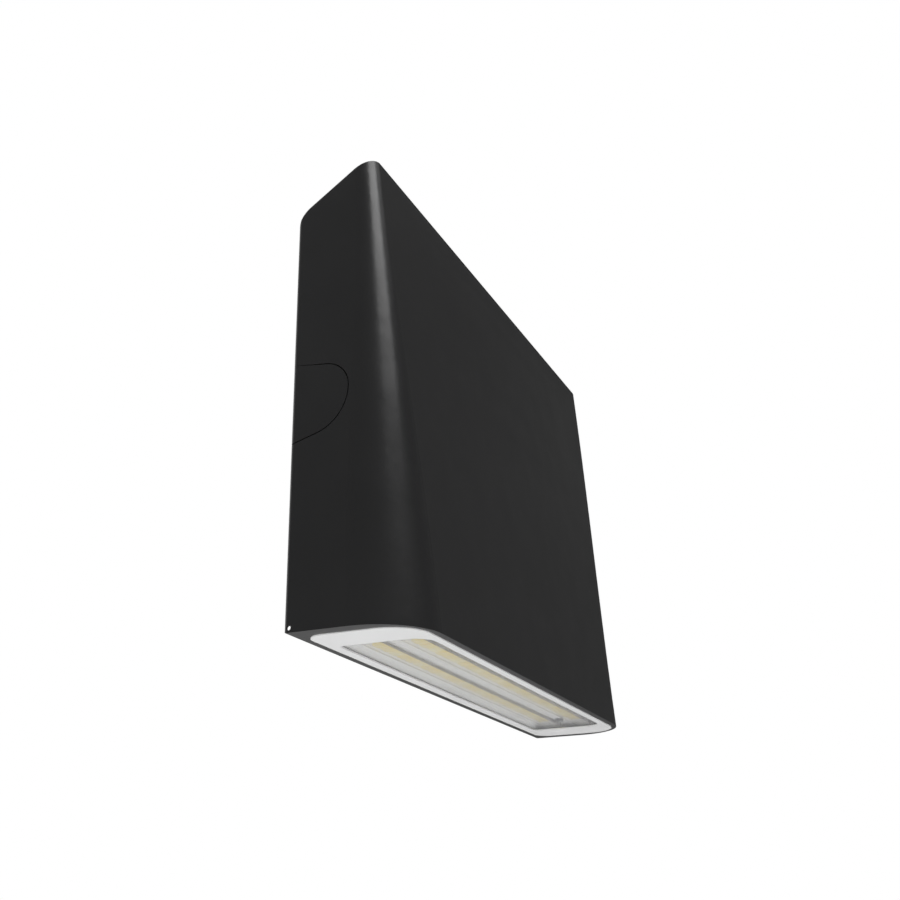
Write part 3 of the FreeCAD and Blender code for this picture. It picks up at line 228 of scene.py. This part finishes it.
# Node by node. None is the finish of the node above it.
MATERIALS = {
    "housing": powder_coat("black_powder_coat"),
    "entry_cover_left": powder_coat("black_powder_coat_cover"),
    "entry_cover_right": None,
    "bezel": varied("white_gloss_plastic", rgb(0.94, 0.945, 0.945), rgb(0.96, 0.96, 0.96), (0.16, 0.22),
                    1500.0, 0.00002, 0.1, Specular_IOR_Level=0.35),
    "lens": clear("clear_lens", rgb(1.0, 1.0, 1.0), (0.0, 0.006)),
    "optic_bar_rear": clear("optic_plastic", rgb(1.0, 1.0, 0.99), (0.01, 0.03), 1.35),
    "optic_bar_front": None,
    "lens_gasket": varied("seal_rubber", rgb(0.02, 0.02, 0.02), rgb(0.035, 0.035, 0.036), (0.6, 0.8),
                          3000.0, 0.00004),
    "entry_seals": None,
    "reflector_tray": varied("white_tray", rgb(0.93, 0.935, 0.935), rgb(0.95, 0.955, 0.955), (0.30, 0.38),
                             1800.0, 0.00003, 0.15),
    "led_board": varied("board_mask", rgb(0.91, 0.91, 0.90), rgb(0.94, 0.94, 0.93), (0.35, 0.45),
                        4000.0, 0.00002),
    "warm_leds": phosphor("phosphor_warm", rgb(0.93, 0.70, 0.03), rgb(0.95, 0.77, 0.09)),
    "cool_leds": phosphor("phosphor_cool", rgb(0.95, 0.84, 0.24), rgb(0.96, 0.87, 0.36)),
    "board_screws": varied("dark_steel", rgb(0.20, 0.21, 0.24), rgb(0.28, 0.29, 0.33), (0.3, 0.45),
                           4000.0, 0.00003, Metallic=1.0),
    "mounting_plate": varied("die_casting", rgb(0.36, 0.37, 0.38), rgb(0.41, 0.42, 0.43), (0.44, 0.54),
                             1200.0, 0.00008, Metallic=1.0),
    "conduit_hubs": None,
    "wall_gasket": varied("foam_rubber", rgb(0.025, 0.025, 0.026), rgb(0.045, 0.045, 0.046), (0.8, 0.95),
                          1600.0, 0.0003, 0.6),
    "wire_entry_grommet": varied("grommet_rubber", rgb(0.016, 0.016, 0.017), rgb(0.028, 0.028, 0.03),
                                 (0.5, 0.65), 2500.0, 0.00004),
    "lead_grommet": None,
    "hinge_pins": brushed("zinc_steel", rgb(0.52, 0.53, 0.55), rgb(0.66, 0.67, 0.69), (0.26, 0.38), "x"),
    "spring_rivets": None,
    "driver_screws": None,
    "friction_springs": brushed("spring_steel", rgb(0.55, 0.55, 0.57), rgb(0.68, 0.68, 0.70),
                                (0.20, 0.30), "z"),
    "ground_screw": varied("green_zinc", rgb(0.02, 0.20, 0.06), rgb(0.04, 0.30, 0.10), (0.25, 0.4),
                           3000.0, 0.00003, Metallic=0.8),
    "heat_sink": brushed("natural_aluminium", rgb(0.60, 0.61, 0.62), rgb(0.74, 0.75, 0.76),
                         (0.30, 0.42), "x"),
    "driver_lid": None,
    "driver_case": varied("driver_plastic", rgb(0.60, 0.60, 0.59), rgb(0.68, 0.68, 0.67), (0.42, 0.55),
                          1600.0, 0.00006),
    "selector_switch": varied("switch_plastic", rgb(0.018, 0.018, 0.019), rgb(0.028, 0.028, 0.03),
                              (0.35, 0.5), 2500.0, 0.00004),
    "colour_slider": varied("white_knob", rgb(0.72, 0.72, 0.70), rgb(0.80, 0.80, 0.78), (0.35, 0.45),
                            2500.0, 0.00003),
    "power_slider": varied("red_knob", rgb(0.42, 0.03, 0.02), rgb(0.52, 0.05, 0.03), (0.35, 0.45),
                           2500.0, 0.00003),
    "output_lead_red": varied("red_insulation", rgb(0.36, 0.02, 0.02), rgb(0.46, 0.03, 0.03), (0.4, 0.5),
                              2500.0, 0.00003),
    "output_lead_black": varied("black_insulation", rgb(0.014, 0.014, 0.014), rgb(0.022, 0.022, 0.022),
                                (0.4, 0.5), 2500.0, 0.00003),
    "supply_leads": varied("white_insulation", rgb(0.56, 0.56, 0.54), rgb(0.66, 0.66, 0.64), (0.4, 0.5),
                           2500.0, 0.00003),
    "supply_connector": varied("connector_plastic", rgb(0.66, 0.66, 0.64), rgb(0.74, 0.74, 0.72),
                               (0.3, 0.4), 2000.0, 0.00003),
}


def dress():
    finish = None
    for node, material in MATERIALS.items():
        finish = material or finish
        for slot in NODES[node].material_slots:
            slot.material = finish


dress()

# ------------------------------------------------------------------ housing with smooth corners

LOW_ROUND, HIGH_ROUND = 0.0240, 0.0075      # radii of the front upright edges, low and high
DEPTH_LOW, DEPTH_HIGH = 0.0485, 0.0310      # depth of the underside and of the top
ON_SURFACE = 0.00006                        # a corner point lies this near to the true surface
SAME_SIDE = 0.8                             # cosine between the mesh normal and the exact one


def smooth_housing():
    """The housing with exact normals on its front corners, whose radius shrinks upwards."""
    mesh = NODES["housing"].data.copy()
    mesh.name = "housing_shell"
    piece = bpy.data.objects.new("housing_shell", mesh)
    bpy.context.scene.collection.objects.link(piece)
    low, high = (Vector(corner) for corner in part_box("housing"))
    back, half = high.y, high.x
    edge = Vector((0, DEPTH_LOW - DEPTH_HIGH, high.z - low.z))
    length = edge.length
    along = edge / length
    front = Vector((0, -along.z, along.y))
    foot = Vector((0, back - DEPTH_LOW, low.z))
    shrink = (HIGH_ROUND - LOW_ROUND) / length
    normals = [Vector(entry.vector) for entry in mesh.corner_normals]
    for index, loop in enumerate(mesh.loops):
        place = mesh.vertices[loop.vertex_index].co
        side = Vector((math.copysign(1.0, place.x), 0, 0))
        from_side = half - abs(place.x)
        from_front = -(place - foot).dot(front)
        radius = LOW_ROUND + shrink * (place - foot).dot(along)
        c, s = (radius - from_side) / radius, (radius - from_front) / radius
        if c < 0 or s < 0 or abs(math.hypot(c, s) - 1) * radius > ON_SURFACE:
            continue
        tilt = shrink * (c * (1 - c) + s * (1 - s))
        exact = (side * c + front * s + along * tilt).normalized()
        if exact.dot(normals[index]) > SAME_SIDE:
            normals[index] = exact
    mesh.normals_split_custom_set(normals)
    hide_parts("housing")
    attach(piece, "housing")


smooth_housing()

# ------------------------------------------------------------------ light, floor and background

FLOOR_Z = -0.62
FLOOR_SIZE = (12.0, 12.0)
WALL_CARD = (5.0, 2.6)
LOW_CARD = (5.0, 5.0)
UNEVEN = 1.1                                # the lightest patch of a card, as a share of its level


def flat_sheet(name, size, z=0.0):
    """A rectangle that faces +Z."""
    mesh = bpy.data.meshes.new(name)
    w, h = size[0] / 2, size[1] / 2
    mesh.from_pydata([(-w, -h, z), (w, -h, z), (w, h, z), (-w, h, z)], [], [(0, 1, 2, 3)])
    sheet = bpy.data.objects.new(name, mesh)
    bpy.context.scene.collection.objects.link(sheet)
    return sheet


def make_floor():
    floor = flat_sheet("floor", FLOOR_SIZE, FLOOR_Z)
    n = Nodes("pale_floor")
    tone = n.between(n.noise(3.0, 2.0), 0.0, 1.0)
    n.shader(n.mix(tone, rgb(0.80, 0.80, 0.80), rgb(0.83, 0.83, 0.83)), 0.7)
    floor.data.materials.append(n.material)


def make_world():
    world = bpy.data.worlds.new("studio")
    bpy.context.scene.world = world
    world.use_nodes = True
    backdrop = world.node_tree.nodes["Background"]
    backdrop.inputs["Color"].default_value = rgb(1.0, 1.0, 1.0)
    backdrop.inputs["Strength"].default_value = 1.0


def soft_box(name, place, target, size, watts):
    data = bpy.data.lights.new(name, "AREA")
    data.shape = "RECTANGLE"
    data.size, data.size_y = size
    data.energy = watts
    lamp = bpy.data.objects.new(name, data)
    lamp.location = place
    lamp.rotation_euler = (Vector(target) - Vector(place)).to_track_quat("-Z", "Y").to_euler()
    bpy.context.scene.collection.objects.link(lamp)


def reflection_card(name, place, normal, size, level):
    """A glowing card that only reflections see, as a studio uses round black objects: a painted
    reflection, dark or pale by its level.
    """
    card = flat_sheet(name, size)
    card.location = place
    card.rotation_euler = Vector(normal).to_track_quat("Z", "Y").to_euler()
    n = Nodes(name + "_painted_reflection")
    tone = n.between(n.noise(4.0), level, level * UNEVEN)
    # The card glows at its level: this emission is a painted reflection, seen by glossy rays only.
    glow = n.add("ShaderNodeEmission")
    n.link(tone, glow.inputs["Color"])
    n.link(glow.outputs[0], n.out.inputs["Surface"])
    card.data.materials.append(n.material)
    card.visible_camera = False
    card.visible_diffuse = False
    card.visible_transmission = False
    card.visible_shadow = False


make_floor()
make_world()
# Cards seen only in reflections: painted reflections, dark at the sides and front, pale below.
reflection_card("card_right", (1.5, -0.3, 0.7), (-1, 0, 0), WALL_CARD, 0.09)
reflection_card("card_left", (-1.7, -0.2, 0.7), (1, 0, 0), WALL_CARD, 0.15)
reflection_card("card_front", (0, -2.2, 0.7), (0, 1, 0), WALL_CARD, 0.065)
reflection_card("card_below", (0.6, 0.2, -0.6), (0, 0, 1), LOW_CARD, 0.72)
soft_box("key_left", (-0.27, -0.87, 0.84), (-0.12, -0.03, 0.06), (0.75, 0.50), 5.5)
